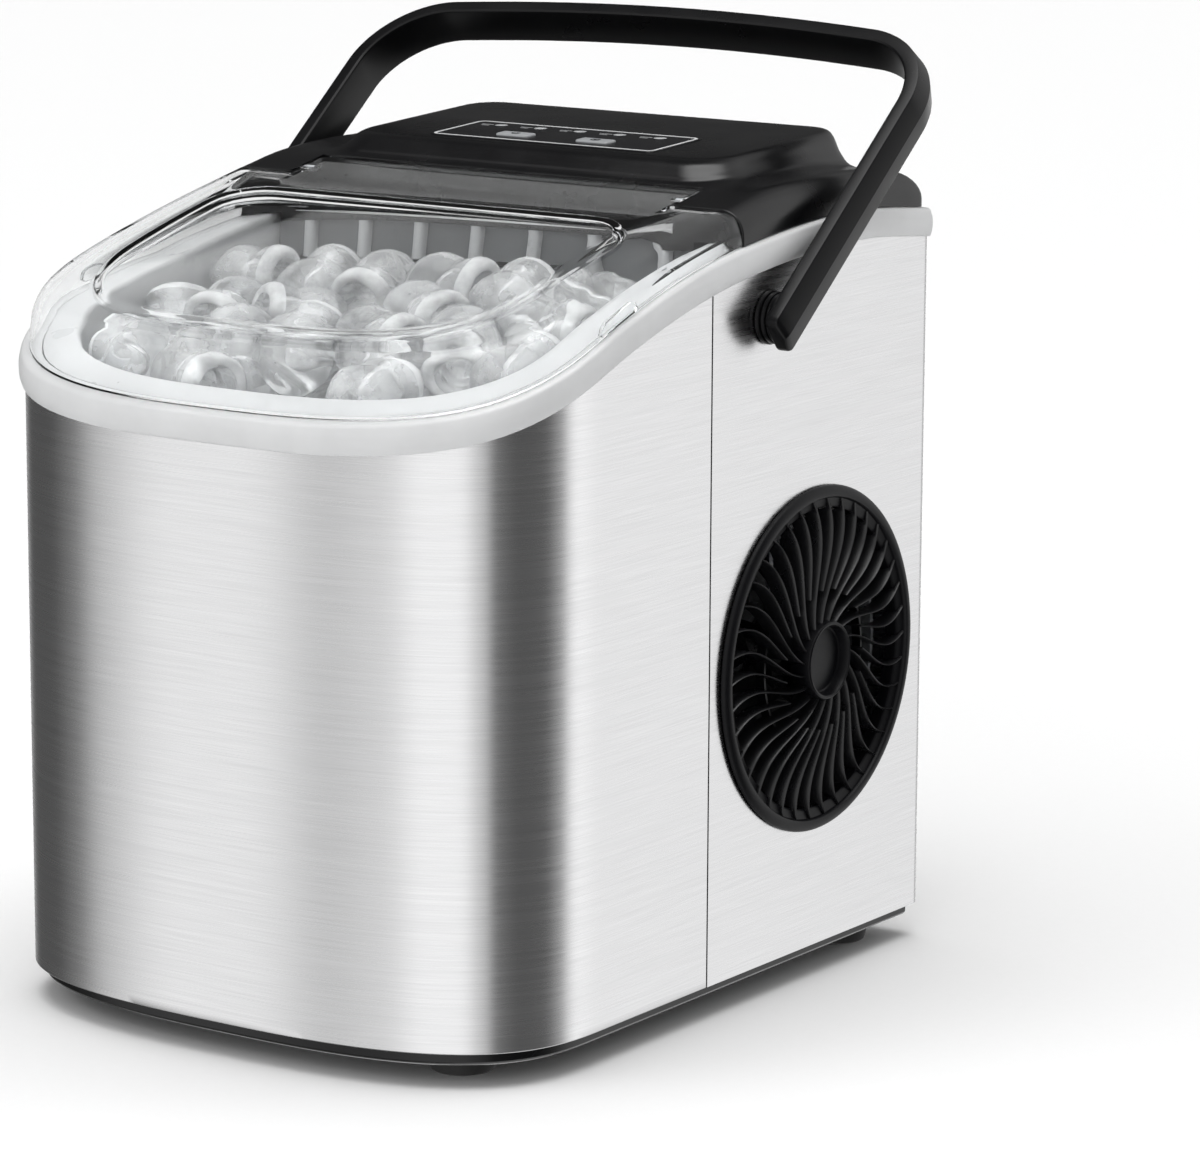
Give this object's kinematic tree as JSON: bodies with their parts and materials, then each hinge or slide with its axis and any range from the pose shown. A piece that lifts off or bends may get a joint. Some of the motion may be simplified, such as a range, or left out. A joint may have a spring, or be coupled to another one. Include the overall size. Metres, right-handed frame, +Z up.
{
  "type": "ice maker",
  "caption": "Portable ice maker: stainless housing with a rounded front, hinged clear lid, bail handle, side fan grille, ice basket, tipping water tray and cooling circuit.",
  "frame": {"origin": "on the surface the feet stand on, under the middle of the whole object's box", "axes": "+Z up, +Y towards the flat back, -Y towards the rounded front, +X towards the fan grille side"},
  "size_m": [0.2442, 0.2782, 0.3273],
  "materials": {
    "brushed_steel": "fine brushed stainless steel",
    "black_plastic": "satin black moulded plastic",
    "foot_rubber": "soft black rubber",
    "rim_plastic": "smooth pale grey plastic",
    "liner_plastic": "smooth white plastic",
    "basket_plastic": "grey white moulded plastic",
    "grey_plastic": "satin dark grey plastic",
    "foam": "pale foamed insulation",
    "zinc_plate": "zinc plated steel",
    "aluminium_fins": "plain aluminium",
    "compressor_paint": "black painted steel",
    "copper_tube": "drawn copper tube",
    "silicone_hose": "translucent silicone hose",
    "panel_gloss": "glossy black plastic with a thin silver outline",
    "button_silver": "smooth grey plastic",
    "lens_clear": "clear indicator lens",
    "circuit_board": "green glass fibre board",
    "clear_lid": "clear moulded acrylic"
  },
  "bodies": {
    "housing": {"base_tray": "black_plastic", "compressor": "compressor_paint", "compressor_mount": "zinc_plate", "condenser": "aluminium_fins", "control_board": "circuit_board", "control_panel": "panel_gloss", "cord_gland": "black_plastic", "discharge_line": "copper_tube", "drain_hose": "silicone_hose", "drain_spout": "grey_plastic", "evaporator": "aluminium_fins", "fan_grille": "black_plastic", "fan_motor": "compressor_paint", "fan_shroud": "grey_plastic", "filter_drier": "copper_tube", "foot_front_left": "foot_rubber", "foot_front_right": "foot_rubber", "foot_rear_left": "foot_rubber", "foot_rear_right": "foot_rubber", "front_shell": "brushed_steel", "hinge_pin_left": "zinc_plate", "hinge_pin_right": "zinc_plate", "ice_sensor_left": "grey_plastic", "ice_sensor_right": "grey_plastic", "indicator_lens_1": "lens_clear", "indicator_lens_2": "lens_clear", "indicator_lens_3": "lens_clear", "indicator_lens_4": "lens_clear", "indicator_lens_5": "lens_clear", "intake_grille": "black_plastic", "liquid_line": "copper_tube", "pivot_boss_left": "black_plastic", "pivot_boss_right": "black_plastic", "pivot_pin_left": "zinc_plate", "pivot_pin_right": "zinc_plate", "pump_hose": "silicone_hose", "rear_screw_left": "zinc_plate", "rear_screw_right": "zinc_plate", "rear_shell": "brushed_steel", "rim": "rim_plastic", "start_relay": "grey_plastic", "suction_line": "copper_tube", "tact_switch_left": "grey_plastic", "tact_switch_right": "grey_plastic", "tank_insulation": "foam", "tank_liner": "liner_plastic", "top_cover": "black_plastic", "tray_motor": "zinc_plate", "water_pump": "black_plastic"},
    "handle": {"handle": "black_plastic"},
    "lid": {"lid": "clear_lid"},
    "ice_basket": {"ice_basket": "basket_plastic"},
    "water_tray": {"water_tray": "liner_plastic", "tray_shaft": "zinc_plate"},
    "ice_shovel": {"ice_shovel": "grey_plastic"},
    "fan_rotor": {"fan_rotor": "black_plastic"},
    "drain_plug": {"drain_plug": "black_plastic"},
    "button_left": {"button_left": "button_silver"},
    "button_right": {"button_right": "button_silver"}
  },
  "joints": [
    {"name": "handle_swing", "type": "hinge", "parent": "housing", "child": "handle", "pos_m": [0, 0.02625, 0.237], "axis": [-1, 0, 0], "range_deg": [-52, 56]},
    {"name": "lid_hinge", "type": "hinge", "parent": "housing", "child": "lid", "pos_m": [0, 0.02125, 0.273], "axis": [-1, 0, 0], "range_deg": [0, 88]},
    {"name": "basket_lift", "type": "slide", "parent": "housing", "child": "ice_basket", "axis": [0, 0, 1], "range_m": [0, 0.01]},
    {"name": "tray_tilt", "type": "hinge", "parent": "housing", "child": "water_tray", "pos_m": [0, 0.03925, 0.2025], "axis": [1, 0, 0], "range_deg": [0, 30]},
    {"name": "shovel_swing", "type": "hinge", "parent": "housing", "child": "ice_shovel", "pos_m": [0, 0.02025, 0.24], "axis": [-1, 0, 0], "range_deg": [0, 48]},
    {"name": "fan_spin", "type": "hinge", "parent": "housing", "child": "fan_rotor", "pos_m": [0.098, 0.05895, 0.1142], "axis": [1, 0, 0], "continuous": true},
    {"name": "plug_pull", "type": "slide", "parent": "housing", "child": "drain_plug", "axis": [0, 1, 0], "range_m": [0, 0.02]},
    {"name": "button_left_press", "type": "slide", "parent": "housing", "child": "button_left", "axis": [0, -0.0499, 0.9988], "range_m": [-0.0008, 0], "stiffness_N_per_m": 800},
    {"name": "button_right_press", "type": "slide", "parent": "housing", "child": "button_right", "axis": [0, -0.0499, 0.9988], "range_m": [-0.0008, 0], "stiffness_N_per_m": 800}
  ],
  "couplings": [
    {"joint": "shovel_swing", "follows": "tray_tilt", "ratio": 1.6}
  ]
}
